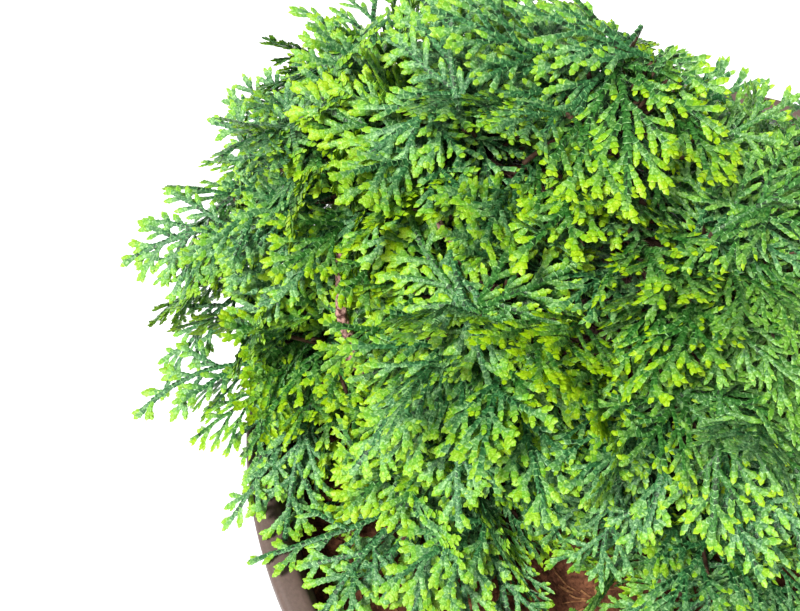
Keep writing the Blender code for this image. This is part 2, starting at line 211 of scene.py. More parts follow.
# Where the tips of some long sprays hang out over the rim, by the mass that they belong to.
HUNG = {
    "foliage_low_7": (
        (-0.131, -0.018, 0.214), (-0.133, -0.03, 0.212), (-0.13, -0.042, 0.214),
        (-0.124, -0.048, 0.211), (-0.117, -0.04, 0.209),
    ),
    "foliage_low_8": (
        (-0.124, -0.056, 0.214), (-0.116, -0.064, 0.212), (-0.107, -0.068, 0.212),
        (-0.104, -0.056, 0.207), (-0.092, -0.064, 0.206), (-0.076, -0.07, 0.207),
    ),
}
# Centre and radius of the hollows between the masses, where the boughs can be seen.
HOLLOWS = (
    ((-0.0993, -0.016, 0.2745), 0.005), ((-0.0995, -0.011, 0.268), 0.0065),
    ((-0.094, -0.0143, 0.241), 0.005), ((-0.0945, -0.009, 0.233), 0.0055),
    ((-0.069, -0.015, 0.29), 0.006), ((-0.0695, -0.011, 0.284), 0.006),
    ((-0.022, -0.054, 0.236), 0.006), ((-0.0915, -0.013, 0.256), 0.0055),
    ((-0.03, -0.02, 0.275), 0.0085), ((-0.04, -0.017, 0.279), 0.006),
)
# Old wood that shows in the hollows: forks of a bough, by their points and the radius at the foot.
FORKS = (
    (((-0.1029, 0.009, 0.2234), (-0.0955, -0.006, 0.232), (-0.0962, -0.0088, 0.248),
      (-0.0998, -0.0095, 0.266), (-0.1, 0.0, 0.279)), 0.002),
    (((-0.0629, -0.0121, 0.2666), (-0.065, -0.01, 0.277), (-0.071, -0.007, 0.285),
      (-0.078, 0.0, 0.29)), 0.0018),
    (((-0.0125, -0.0371, 0.2224), (-0.017, -0.044, 0.229), (-0.024, -0.048, 0.231),
      (-0.031, -0.05, 0.229)), 0.0017),
)

OPEN_WAY = Vector((cos(OPEN_SIDE), sin(OPEN_SIDE), 0))


def seeded(*words):
    return random.Random(" ".join(str(word) for word in (SEED, *words)))


def shares(count):
    """So many numbers from 0 to 1, evenly spaced."""
    return [step / (count - 1) for step in range(count)]


def trunk_point(share):
    lean = share ** TRUNK_LEAN
    return Vector((TRUNK_TOP_X * lean, TRUNK_TOP_Y * lean, SOIL_TOP + GAP + TRUNK_LENGTH * share))


def trunk_radius(share):
    flare = (FLARE_RADIUS - TRUNK_RADIUS) * max(0, 1 - share * TRUNK_LENGTH / FLARE_HEIGHT) ** 2
    return TRUNK_RADIUS + (TRUNK_TIP_RADIUS - TRUNK_RADIUS) * share + flare


def bough_point(foot, tip, share):
    out = tip - foot
    rise = KNEE_RISE * out.xy.length + KNEE_LIFT * max(out.z, 0)
    knee = foot + KNEE_OUT * Vector((out.x, out.y, 0)) + rise * UP
    return (1 - share) ** 2 * foot + 2 * share * (1 - share) * knee + share ** 2 * tip


def plan_masses():
    """Name, middle, outward direction and bough of each mass, ring by ring."""
    found = []
    for ring, count, wide, deep, height, low_foot, high_foot, radius, stride, first in RINGS:
        for index in range(count):
            rng = seeded(ring, index)
            turn = index + first + rng.uniform(-TURN_JITTER, TURN_JITTER)
            angle = ROUND * turn / count
            away = rng.uniform(*AWAY_JITTER)
            side = Vector((away * wide * cos(angle), away * deep * sin(angle), 0))
            side = Matrix.Rotation(CROWN_TURN, 3, "Z") @ side
            facing = atan2(side.y, side.x)
            opened = (ring == "low") * max(0, cos(facing - OPEN_SIDE)) ** SIDE_POWER
            behind = (ring == "upper") * max(0, cos(facing - BACK_SIDE)) ** SIDE_POWER
            side = side * (1 - OPEN_DEPTH * opened - BACK_DEPTH * behind)
            side -= (OPEN_DROP * opened + BACK_DROP * behind) * UP
            over = POT_HEIGHT + height + rng.uniform(-HEIGHT_JITTER, HEIGHT_JITTER)
            middle = Vector((CROWN_X, CROWN_Y, over)) + side
            middle.z -= CROWN_SLOPE * side.x * (ring != "low")
            foot = low_foot + (high_foot - low_foot) * (index * stride % count) / count
            found.append(SimpleNamespace(
                name=f"foliage_{ring}_{index + 1}", low=ring == "low", opened=opened, middle=middle,
                foot=trunk_point(foot / TRUNK_LENGTH), bough_radius=radius))
    found.append(SimpleNamespace(
        name="foliage_top", low=False, foot=None,
        middle=Vector((TRUNK_TOP_X, TRUNK_TOP_Y, POT_HEIGHT + TOP_HEIGHT))))
    heart = Vector((CROWN_X, CROWN_Y, POT_HEIGHT - HEART_DEPTH))
    for mass in found:
        mass.out = (mass.middle - heart).normalized()
        if mass.foot:
            inward = (mass.foot - mass.middle).normalized()
            mass.tip = mass.middle + (CORE_RADIUS * REACH + CORE_CLEAR) * inward
        else:
            mass.tip = trunk_point(1)
    return found


# ------ where sprays stand
def square_to(along, outward):
    """The direction at right angles to the first one that is nearest to the second."""
    return (outward - outward.dot(along) * along).normalized()


def rolled(face, along, degrees):
    """A facing turned about the spray's own axis."""
    return Matrix.Rotation(radians(degrees), 3, along) @ face


def twig_directions(mass, rng):
    out = mass.out
    side = out.orthogonal().normalized()
    found = []
    for count, lean in TWIG_RINGS:
        start = rng.uniform(0, ROUND)
        for index in range(count):
            turn = start + ROUND * (index + rng.uniform(-TURN_JITTER, TURN_JITTER)) / count
            ring = Matrix.Rotation(turn, 3, out) @ side
            lifted = lean + rng.uniform(-TURN_JITTER, TURN_JITTER)
            found.append((ring + lifted * out).normalized())
    return found


def blade_points():
    """The solid blade's points at unit length: root, lobes and notches, then top and underside."""
    points = [(0, 0, 0)]
    steps = 2 * (FAN_LOBES - 1)
    for step in range(steps + 1):
        across = 2 * step / steps - 1
        reach = (1 if step % 2 == 0 else NOTCH) * (1 - FAN_ROUNDING * across ** 2)
        x, y = reach * cos(across * FAN_SPREAD), reach * sin(across * FAN_SPREAD)
        points.append((x, y, -FAN_CUP * x * x))
    half = FAN_THICKNESS / 2
    sag = FAN_CUP * FAN_HUB ** 2
    return points + [(FAN_HUB, 0, half - sag), (FAN_HUB, 0, -half - sag)]


BLADE = blade_points()
BLADE_RIM = len(BLADE) - 2
BLADE_FACES = [face for i in range(BLADE_RIM) for face in (
    (BLADE_RIM, i, (i + 1) % BLADE_RIM), (BLADE_RIM + 1, (i + 1) % BLADE_RIM, i),
)]


class Space:
    """What a mass may fill: its own cell of the crown, clear of limbs, pot and its other fans."""

    def __init__(self, mass, masses, solids, taken):
        self.mass, self.solids, self.fans, self.taken = mass, solids, [], taken
        ways = [other.middle - mass.middle for other in masses if other is not mass]
        self.walls = [(way.normalized(), way.length / 2 - SPACE_MARGIN) for way in ways]

    def holds_point(self, point, border, further):
        offset = point - self.mass.middle
        if offset.length > REACH * further or point.z < SOIL_TOP + SOIL_CLEAR:
            return False
        if point.dot(FLAT_WAY) > FLAT_LIMIT + border / 3:
            return False
        return all(offset.dot(way) <= limit + border for way, limit in self.walls)

    def holds_blade(self, points, border=0, further=1):
        """The blade's surface if it fits, or None. It may pass the cell's walls by the border."""
        if not all(self.holds_point(point, border, further) for point in points):
            return None
        for centre, radius in HOLLOWS:
            if any((point - Vector(centre)).length < radius for point in points):
                return None
        tree = BVHTree.FromPolygons(points, BLADE_FACES)
        if any(tree.overlap(solid) for solid in self.solids):
            return None
        return tree


def blade_at(root, along, face, length, width=1):
    side = face.cross(along)
    return [root + length * (x * along + width * y * side + z * face) for x, y, z in BLADE]


def grow_fan(space, root, along, normal, rng):
    """Facing and length of one fan, turned and then shortened until its blade fits, or None."""
    for size in FAN_SIZES:
        for roll in FAN_ROLLS:
            face = rolled(normal, along, roll + rng.uniform(-ROLL_JITTER, ROLL_JITTER))
            length = size * FAN_LENGTH * REACH * rng.uniform(*FAN_JITTER)
            tree = space.holds_blade(blade_at(root, along, face, length))
            if tree and not any(tree.overlap(fan) for fan in space.fans):
                space.fans.append(tree)
                return new_spray(root, along, face, length)
    return None


def grow_twig(space, direction, rng):
    """One twig from the mass's middle, with a fan at its end and one on each side of it."""
    middle = space.mass.middle
    normal = square_to(direction, space.mass.out + FACE_UP * UP)
    for share in TWIG_SIZES:
        fans = []
        length = share * TWIG_LENGTH * REACH * rng.uniform(*TWIG_JITTER)
        for place, turn in SPRAY_FANS:
            along = rolled(direction, normal, turn + rng.uniform(-SPRAY_TURN, SPRAY_TURN))
            along = (along - FAN_DROOP * UP).normalized()
            set_back = END_SET_BACK if turn == 0 else SIDE_SET_BACK
            root = middle + direction * place * length - along * TWIG_RADIUS * set_back
            fan = grow_fan(space, root, along, square_to(along, normal), rng)
            if fan:
                fans.append(fan)
        if fans:
            return middle + direction * length, fans
    return None, []


def new_spray(root, along, face, length):
    return SimpleNamespace(root=root, along=along, face=face, length=length, skirt=False)


def spray_middle(spray):
    return spray.root + SPRAY_MIDDLE * spray.length * spray.along


def settle(space, root, along, face, length, sizes, apart, border, further=1):
    """A list of the spray at the largest of these sizes that has room, or an empty list."""
    for size in sizes:
        spray = new_spray(root, along, face, size * length)
        centre = spray_middle(spray)
        if any((centre - other).length < apart for other in space.taken):
            continue
        points = blade_at(root, along, face, spray.length, SPRAY_WIDTH)
        if space.holds_blade(points, border, further):
            space.taken.append(centre)
            return [spray]
    return []


def random_way(rng):
    return Vector((rng.gauss(0, 1), rng.gauss(0, 1), rng.gauss(0, 1))).normalized()


def grow_filling(space, rng):
    """Extra sprays wherever there is room between the others. Some lean over a little."""
    middle, out = space.mass.middle, space.mass.out
    for tries, shortest, longest, nearest, furthest, spread, apart, border, roll in FILLINGS:
        for _ in range(tries):
            direction = (random_way(rng) + rng.uniform(0.0, FILLING_OUT) * out).normalized()
            root = middle + direction * REACH * rng.uniform(nearest, furthest)
            away = Vector((root.x - TRUNK_TOP_X, root.y - TRUNK_TOP_Y, 0)).normalized()
            tangent = square_to(direction, random_way(rng) + FILLING_AWAY * away)
            along = direction + rng.uniform(0.1, spread) * tangent - FILLING_DROOP * UP
            along.normalize()
            face = square_to(along, direction + 0.8 * out + 0.5 * UP)
            face = rolled(face, along, rng.gauss(0, roll))
            length = rng.uniform(shortest, longest)
            if space.mass.low:
                hung = (root + length * along) - middle
                open_limit = OPEN_LIMIT + OPEN_RISE * max(0, hung.z)
                open_limit += CLOSED_LIMIT * (1 - space.mass.opened)
                if hung.z < -LOW_DEPTH:
                    continue
                if hung.dot(OPEN_WAY) > open_limit and rng.random() > OPEN_KEPT:
                    continue
            further = LEADER_REACH if rng.random() < LEADER_SHARE else rng.uniform(*FULL_REACH)
            centre = root + SPRAY_MIDDLE * length * along
            if noise.noise(centre / HOLLOW_SIZE) >= HOLLOW_LIMIT:
                room = (FILLING_SIZES, apart, border, further)
                yield from settle(space, root, along, face, length, *room)


def grow_cover(space, rng):
    """Sprays that lie across the outer side of a mass and hide its middle."""
    middle, out = space.mass.middle, space.mass.out
    for _ in range(COVER_TRIES):
        across = square_to(out, random_way(rng))
        root = middle + REACH * (rng.uniform(*COVER_OUT) * out - rng.uniform(*COVER_BACK) * across)
        along = (across + rng.uniform(*COVER_RISE) * out).normalized()
        face = rolled(square_to(along, out), along, rng.gauss(0, COVER_ROLL))
        yield from settle(space, root, along, face, rng.uniform(*COVER_LENGTH), *COVER_ROOM)


def grow_tuft(space, rng):
    """Short sprays that stand outwards from the middle of a mass and hide where its twigs meet."""
    middle, out = space.mass.middle, space.mass.out
    for _ in range(TUFT_TRIES):
        direction = (out + 0.75 * random_way(rng) + 0.3 * UP).normalized()
        root = middle + direction * REACH * rng.uniform(*TUFT_ROOT)
        along = (direction + 0.5 * random_way(rng)).normalized()
        face = square_to(along, random_way(rng) + 0.6 * out)
        yield from settle(space, root, along, face, rng.uniform(*TUFT_LENGTH), *TUFT_ROOM)


def grow_skirt(space, rng):
    """Long airy sprays that hang outwards from under a low mass."""
    middle, out = space.mass.middle, space.mass.out
    around = Vector((out.x, out.y, 0)).normalized()

    def level(along):
        return rolled(square_to(along, UP), along, rng.uniform(-SKIRT_ROLL, SKIRT_ROLL))

    for tip in map(Vector, HUNG.get(space.mass.name, ())):
        along = (tip - middle - rng.uniform(0.0, HUNG_FALL) * UP).normalized()
        length = min(rng.uniform(*SKIRT_LENGTH), HUNG_SHARE * (tip - middle).length)
        spray = new_spray(tip - length * along, along, level(along), length)
        space.taken.append(spray_middle(spray))
        yield spray
    for _ in range(SKIRT_TRIES):
        way = Matrix.Rotation(rng.uniform(-SKIRT_TURN, SKIRT_TURN), 3, "Z") @ around
        root = middle + way * rng.uniform(*SKIRT_OUT) - rng.uniform(*SKIRT_DOWN) * UP
        along = (way - rng.uniform(*SKIRT_FALL) * UP).normalized()
        face = level(along)
        yield from settle(space, root, along, face, rng.uniform(*SKIRT_LENGTH), *SKIRT_ROOM)


# ------ materials
SPOT_DETAIL = 2
BUMP_DETAIL = 3
BUMP_STRENGTH = 0.6


def linear(colour):
    """A Blender colour from its 0 to 255 screen values."""
    values = [value / 255 for value in colour]
    return (*(v / 12.92 if v <= 0.04045 else ((v + 0.055) / 1.055) ** 2.4 for v in values), 1)


def finish(name, colour, other, grain, bump, depth, roughness, specular, spread=(0.35, 0.65)):
    """Colour that wanders to another one in spots of the grain's size, with fine bumps on it."""
    made = bpy.data.materials.new(name)
    made.use_nodes = True
    nodes, links = made.node_tree.nodes, made.node_tree.links
    shader = nodes["Principled BSDF"]
    shader.inputs["Roughness"].default_value = roughness
    shader.inputs["Specular IOR Level"].default_value = specular
    place = nodes.new("ShaderNodeTexCoord")

    def noise_node(size, detail):
        node = nodes.new("ShaderNodeTexNoise")
        node.inputs["Scale"].default_value = 1 / size
        node.inputs["Detail"].default_value = detail
        links.new(place.outputs["Object"], node.inputs["Vector"])
        return node.outputs["Fac"]

    ramp = nodes.new("ShaderNodeValToRGB")
    for element, position, value in zip(ramp.color_ramp.elements, spread, (colour, other)):
        element.position, element.color = position, linear(value)
    links.new(noise_node(grain, SPOT_DETAIL), ramp.inputs["Fac"])
    links.new(ramp.outputs["Color"], shader.inputs["Base Color"])
    relief = nodes.new("ShaderNodeBump")
    relief.inputs["Strength"].default_value = BUMP_STRENGTH
    relief.inputs["Distance"].default_value = depth
    links.new(noise_node(bump, BUMP_DETAIL), relief.inputs["Height"])
    links.new(relief.outputs["Normal"], shader.inputs["Normal"])
    return made


# From the newest leaves to the oldest, and last the painted deep shade: a leaf's own colour, then
# that of the pale spots on it, partly the leaves' wax and partly painted glints. The warm sprays
# are yellower than the cool ones.
LEAF_COLOURS = (
    ("warm_tip", (134, 174, 6), (162, 194, 42)),
    ("warm_lime", (114, 166, 12), (150, 192, 56)),
    ("warm_fresh", (90, 144, 38), (138, 182, 88)),
    ("warm_green", (64, 112, 40), (110, 154, 78)),
    ("warm_dark", (36, 88, 28), (74, 130, 56)),
    ("warm_deep", (12, 40, 10), (34, 72, 30)),
    ("cool_tip", (120, 168, 24), (154, 192, 70)),
    ("cool_lime", (98, 158, 36), (142, 190, 84)),
    ("cool_fresh", (84, 138, 62), (140, 184, 114)),
    ("cool_green", (60, 108, 58), (110, 154, 100)),
    ("cool_dark", (34, 84, 42), (76, 134, 78)),
    ("cool_deep", (10, 38, 14), (32, 70, 38)),
    ("wax", (108, 156, 90), (152, 196, 130)),
    ("bloom", (150, 198, 36), (184, 216, 90)),
)
# The last class is painted deep shade; random darker faces of old leaves can reach it too.
TIP, LIME, FRESH, GREEN, DARK, DEEP_SHADE = range(6)
COOL = 6  # the cool colours' place after the warm ones
# Pale rims on some leaves' tip faces: partly wax, partly painted glints.
WAX_AND_GLINT, BLOOM_AND_GLINT = 12, 13  # the pale rims of old and of new leaves
LEAF_GLOSS = (0.80, 1.0, 0.72, 1)


# ------ meshes
def placed(name, data):
    """A new object of the scene with this mesh, lamp or camera."""
    made = bpy.data.objects.new(name, data)
    scene.collection.objects.link(made)
    return made


def mesh_piece(name, points, faces, finishes, indices=0, smooth=False):
    """A piece from arrays of points and triangles, riding on the part."""
    mesh = bpy.data.meshes.new(name)
    count = len(faces)
    mesh.vertices.add(len(points))
    mesh.vertices.foreach_set("co", np.asarray(points, dtype=np.float32).ravel())
    mesh.loops.add(3 * count)
    mesh.loops.foreach_set("vertex_index", np.asarray(faces, dtype=np.int32).ravel())
    mesh.polygons.add(count)
    mesh.polygons.foreach_set("loop_start", np.arange(0, 3 * count, 3, dtype=np.int32))
    for one in finishes:
        mesh.materials.append(one)
    mesh.polygons.foreach_set("material_index", np.full(count, indices, dtype=np.int32))
    mesh.polygons.foreach_set("use_smooth", np.full(count, smooth))
    mesh.update()
    mesh.validate()
    made = placed(name, mesh)
    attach(made, "root")
    return made


def ring_faces(rings, sides):
    """Triangles between rings of so many points each, and then those of the two closed ends."""
    faces = []
    first, last, end = rings * sides, rings * sides + 1, (rings - 1) * sides
    for ring in range(rings - 1):
        for step in range(sides):
            a, b = ring * sides + step, ring * sides + (step + 1) % sides
            faces += [(a, b + sides, a + sides), (a, b, b + sides)]
    for step in range(sides):
        following = (step + 1) % sides
        faces += [(first, following, step), (last, end + step, end + following)]
    return faces


def tube(points, radii, sides):
    """Points and triangles of a tapering tube with closed ends."""
    verts = []
    before = None
    for index, point in enumerate(points):
        ahead = points[min(index + 1, len(points) - 1)] - points[max(index - 1, 0)]
        ahead.normalize()
        side = ahead.orthogonal().normalized() if before is None else square_to(ahead, before)
        before = side
        other = ahead.cross(side)
        for step in range(sides):
            angle = ROUND * step / sides
            verts.append(point + radii[index] * (cos(angle) * side + sin(angle) * other))
    return verts + [points[0].copy(), points[-1].copy()], ring_faces(len(points), sides)


class Pile:
    """Meshes gathered into one."""

    def __init__(self):
        self.points, self.faces, self.indices = [], [], []
        self.count = 0

    def add(self, points, faces, index=0):
        """Adds a mesh whose triangles have one finish, or a list of them."""
        self.points.append(np.array(points, dtype=np.float64))
        self.faces.append(np.array(faces, dtype=np.int64) + self.count)
        self.indices.append(np.full(len(faces), index))
        self.count += len(points)

    def piece(self, name, finishes, smooth=False):
        points, faces = np.concatenate(self.points), np.concatenate(self.faces)
        return mesh_piece(name, points, faces, finishes, np.concatenate(self.indices), smooth)


# ------ sprays of leafy shoots
# Threes of values are for the main shoot, its side shoots and theirs.
LATERAL_ANGLE = radians(40)
LATERAL_START = (0.0028, 0.0022, 1)
LATERAL_GAP = (0.0033, 0.0023)  # from one side shoot to the next, on alternate sides
LATERAL_LEAST = (0.0022, 0.0016)  # the shortest side shoot
LATERAL_END = 0.0014  # none so near the tip
LATERAL_MISSED = 0.05
SHOOT_BEND = 0.03
BEND_SHARES = (1.0, 0.7, 0.7)
BEND_PITCH = 0.0016  # the pitch that this bend is for
SHOOT_WIDTHS = (1.08, 1.0, 0.88)
WIDER = 0.26  # with vigour
CLUB = (0.12, 0.22)  # how much a shoot swells near its tip, and more so with vigour
CLUB_PLACE = 0.0024
CLUB_SPREAD = 0.0020
LIME_LENGTH = 0.0060
LIME_SHARES = (1, 0.8, 0.55)
LEAST_LIME = 0.0006
BARE_AGES = ((0.0026, 0), (0.009, 1))  # from the tip, in a shoot without lime
LIME_AGES = ((0.45, -2), (0.85, -1), (1.6, 0), (3.2, 1))  # from the tip, in lengths of its lime
# Shares of leaves with pale rims, partly wax and partly painted glints.
RIM_SHARE = (0.18, 0.45)  # of the new and of the old leaves
PALER_SHARE = 0.35  # of the old leaves' lower faces
DARKER_SHARE = 0.25  # and of their upper faces
LEAF_FACES = np.array(((0, 1, 3), (0, 3, 6), (0, 6, 4), (0, 4, 2), (3, 5, 6), (6, 5, 4)))
LEAF_POINTS = 7
RIDGE_HEIGHT = 0.62
FOOT_SPREAD = 0.34
SIDE_HEIGHT = 0.08
# How far ahead the side tips are and how far aside, then how far ahead and how high the middle tip
# and the notch behind it are: of a pair of leaves, and of the last pair of a shoot.
PAIR = (0.95, 0.5, 1.4, 1.0, 1.18, 0.95)
LAST_PAIR = (0.60, 0.34, 1.15, 0.45, 0.96, 0.5)
EXPOSED_FROM, EXPOSED_OVER = 0.40, 0.45
FACING_LEAST, FACING_GAIN = 0.55, 0.8
# Painted shade: sprays deep in the crown get leaves so many colour classes darker.
SHADES = ((0.06, 2), (0.3, 1))  # how much darker the leaves are that are less exposed than this
PATCH_SCALE = 24  # patches of more and of less vigour
COOL_SCALE = 18  # patches of cool and of warm sprays
SKIRT_AIRY = 1.25
SKIRT_VIGOUR = 0.3
MOST_VIGOUR = 1.15


def leaf_class(left, lime, shade):
    """Colour class of leaves that lie so far from the tip of their shoot, where its lime is so
    long: their age, made darker by the spray's painted shade.
    """
    age, ages = (left, BARE_AGES) if lime < LEAST_LIME else (left / lime, LIME_AGES)
    found = next((FRESH + older for limit, older in ages if age < limit), DARK)
    return min(found + shade, DEEP_SHADE)


def grow_shoot(leaves, spray, at, heading, tilt, length, order, rng):
    """Adds one shoot's leaf pairs and then those of its side shoots."""
    x, y, z = at
    pitch, vigour = spray.pitch, spray.vigour
    steps = max(1, round(length / pitch))
    side = 1 if rng.random() < 0.5 else -1
    bend = rng.uniform(-SHOOT_BEND, SHOOT_BEND) * pitch / BEND_PITCH * BEND_SHARES[order]
    newness = min(1, hypot(x, y) / spray.length)
    lime = LIME_LENGTH * (vigour * (0.25 + 0.8 * newness) + rng.uniform(-0.10, 0.10))
    lime *= LIME_SHARES[order]
    base = SHOOT_WIDTH * (1 + WIDER * vigour) * SHOOT_WIDTHS[order] * rng.uniform(0.92, 1.08)
    due = LATERAL_START[order]
    for step in range(steps):
        left = (steps - step) * pitch
        swell = exp(-((left - CLUB_PLACE) / CLUB_SPREAD) ** 2)
        club = 1 + (CLUB[0] + CLUB[1] * min(vigour, 1)) * swell
        width = base * club * rng.uniform(0.92, 1.08)
        kind = leaf_class(left - pitch, lime, spray.shade)
        leaves.append((x, y, z, heading, tilt, pitch, width, step == steps - 1, kind))
        x += pitch * cos(heading) * cos(tilt)
        y += pitch * sin(heading) * cos(tilt)
        z += pitch * sin(tilt)
        heading += bend + rng.uniform(-0.04, 0.04)
        tilt += rng.uniform(-0.03, 0.03) - 0.008
        left -= pitch
        due -= pitch
        if order == spray.orders or due > 0 or left <= LATERAL_END:
            continue
        due += LATERAL_GAP[order] * spray.airy * rng.uniform(0.85, 1.15)
        side = -side
        if rng.random() < LATERAL_MISSED * spray.airy:
            continue
        if order == 0:
            share = 1 - left / length
            child = 0.66 / spray.airy * left * min(1, 0.5 + 2.6 * share) + 0.0015
        else:
            child = min(0.55 * left + 0.0012, 0.0058)
        child *= rng.uniform(0.75, 1.2)
        if child >= LATERAL_LEAST[order]:
            turned = heading + side * LATERAL_ANGLE * rng.uniform(0.84, 1.14)
            start = (x, y, z + rng.uniform(-0.0003, 0.0003))
            tilted = tilt + rng.uniform(-0.24, 0.14)
            grow_shoot(leaves, spray, start, turned, tilted, child, order + 1, rng)


def leaf_kinds(kinds, cool, rng):
    """The colour of each face of each leaf pair, by its age and painted shade; some tip faces get
    pale rims, partly wax and partly painted glints.
    """
    chance = np.random.default_rng(rng.randrange(2 ** 32)).random((len(kinds), len(LEAF_FACES)))
    found = np.repeat(kinds[:, None], len(LEAF_FACES), axis=1)
    old = found > FRESH
    found[:, 0:4:3] -= (chance[:, 0:4:3] < PALER_SHARE) & old[:, 0:4:3]
    found[:, 1:3] += (chance[:, 1:3] < DARKER_SHARE) & old[:, 1:3] & (found[:, 1:3] < DEEP_SHADE)
    found += COOL * cool
    aged = (kinds > FRESH)[:, None]
    # Some tip faces get the pale rim colours: partly wax, partly painted glints.
    rimmed = chance[:, 4:] < np.where(aged, RIM_SHARE[1], RIM_SHARE[0])
    found[:, 4:] = np.where(rimmed, np.where(aged, WAX_AND_GLINT, BLOOM_AND_GLINT), found[:, 4:])
    return found.ravel()


def spray_mesh(spray, rng):
    """Points, triangles and their colours of one spray, bent and placed.

    A pair of leaves is a folded arrowhead: a ridge, two feet, two side tips and a tip between them.
    """
    leaves = []
    grow_shoot(leaves, spray, (0, 0, 0), 0, 0, spray.length, 0, rng)
    data = np.array(leaves)
    start, last, kinds = data[:, 0:3], data[:, 7:8] > 0, data[:, 8].astype(int)
    heading, tilt, pitch, wide = (data[:, column, None] for column in range(3, 7))
    level = np.cos(tilt)
    ahead = np.hstack((np.cos(heading) * level, np.sin(heading) * level, np.sin(tilt)))
    side = np.hstack((-np.sin(heading), np.cos(heading), 0 * heading))
    up = np.cross(ahead, side)
    tall = SHOOT_HEIGHT * wide / SHOOT_WIDTH
    far, aside, tip, tip_height, notch, notch_height = (
        np.where(last, end, other) for other, end in zip(PAIR, LAST_PAIR))
    reach = start + ahead * pitch * far
    spread = wide * aside
    points = np.stack((
        start + up * tall * RIDGE_HEIGHT,
        start - side * wide * FOOT_SPREAD,
        start + side * wide * FOOT_SPREAD,
        reach - side * spread + up * tall * SIDE_HEIGHT,
        reach + side * spread + up * tall * SIDE_HEIGHT,
        start + ahead * pitch * tip + up * tall * tip_height,
        start + ahead * pitch * notch + up * tall * notch_height,
    ), axis=1).reshape(-1, 3)
    x, y, z = points.T.copy()
    sag, twist, cup = rng.uniform(3, 8), rng.uniform(-9, 9), rng.uniform(3, 12)
    z = z - sag * x * x - cup * y * y
    cosine, sine = np.cos(twist * x), np.sin(twist * x)
    points = np.stack((x, y * cosine - z * sine, y * sine + z * cosine), axis=1)
    axis, face = spray.along, spray.face
    points = np.array(spray.root) + points @ np.array((axis, face.cross(axis), face))
    offsets = LEAF_POINTS * np.arange(len(leaves))[:, None, None]
    return points, (LEAF_FACES + offsets).reshape(-1, 3), leaf_kinds(kinds, spray.cool, rng)


def held(value):
    """The value, or 0 or 1 where it is outside them."""
    return max(0, min(1, value))


def give_colour(spray, mass, rng):
    """How lime the spray's tips are and how much painted shade darkens its leaves, by how far out
    it stands.
    """
    tip = spray.root + spray.along * spray.length
    offset = tip - mass.middle
    facing = offset.normalized().dot(mass.out)
    exposed = held((offset.length / REACH - EXPOSED_FROM) / EXPOSED_OVER)
    exposed *= held(FACING_LEAST + FACING_GAIN * facing)
    patch = noise.noise(tip * PATCH_SCALE) * 1.3 + rng.uniform(-0.35, 0.35)
    hung = spray.skirt
    vigour = 0.6 * exposed + 0.65 * patch + 0.1 + MASS_VIGOUR.get(mass.name, 0)
    # Painted shade: sprays on the side away from the key lamp get less vigour and less lime.
    vigour -= SIDE_SHADE_LOSS * held((tip.x - SIDE_SHADE_FROM) / SIDE_SHADE_OVER)
    cool = noise.noise(tip * COOL_SCALE + Vector((5, 5, 5)))
    cool += 0 if hung else rng.uniform(-0.3, 0.3)
    spray.airy = SKIRT_AIRY if hung else 1
    spray.vigour = max(SKIRT_VIGOUR if hung else 0, min(MOST_VIGOUR, vigour))
    # Painted shade: the leaves of sprays deep in the crown are drawn in darker colour classes.
    spray.shade = 0 if hung else next((dark for limit, dark in SHADES if exposed < limit), 0)
    spray.cool = int(hung or cool > 0)
    spray.pitch = LEAF_PITCH if exposed > 0.2 or hung else INNER_PITCH
    spray.orders = 2 if exposed > 0.08 or hung else 1


# ------ pot
def wall_radius(height):
    return BASE_RADIUS + (RIM_RADIUS - LIP_WIDTH - BASE_RADIUS) * height / POT_HEIGHT


SHOULDER_RADIUS = wall_radius(SHOULDER)


def rounded(corners, radius, steps=3):
    """The profile with its inner corners rounded off."""
    found = [corners[0]]
    for before, here, after in zip(corners, corners[1:], corners[2:]):
        a, b, c = Vector(before), Vector(here), Vector(after)
        room = min(radius, 0.45 * (a - b).length, 0.45 * (c - b).length)
        start, end = b + (a - b).normalized() * room, b + (c - b).normalized() * room
        for share in shares(steps + 1):
            point = (1 - share) ** 2 * start + 2 * share * (1 - share) * b + share ** 2 * end
            found.append(tuple(point))
    return found + [corners[-1]]


def lathe(profile, sides, lift=None):
    """Points and triangles of a turned solid whose profile runs from axis to axis."""
    rings = profile[1:-1]
    turns = [ROUND * step / sides for step in range(sides)]
    points = [
        (radius * cos(turn), radius * sin(turn), height)
        for radius, height in rings for turn in turns
    ] + [(0, 0, profile[0][1]), (0, 0, profile[-1][1])]
    if lift:
        points = [lift(*point) for point in points]
    return points, [(a, c, b) for a, b, c in ring_faces(len(rings), sides)]


POT_SIDES = 180
POT_ROUNDING = 0.0022
DRAIN_COUNT = 6
DRAIN_SIDES = 24
DRAIN_RADIUS = 0.0065
DRAIN_CIRCLE = 0.074


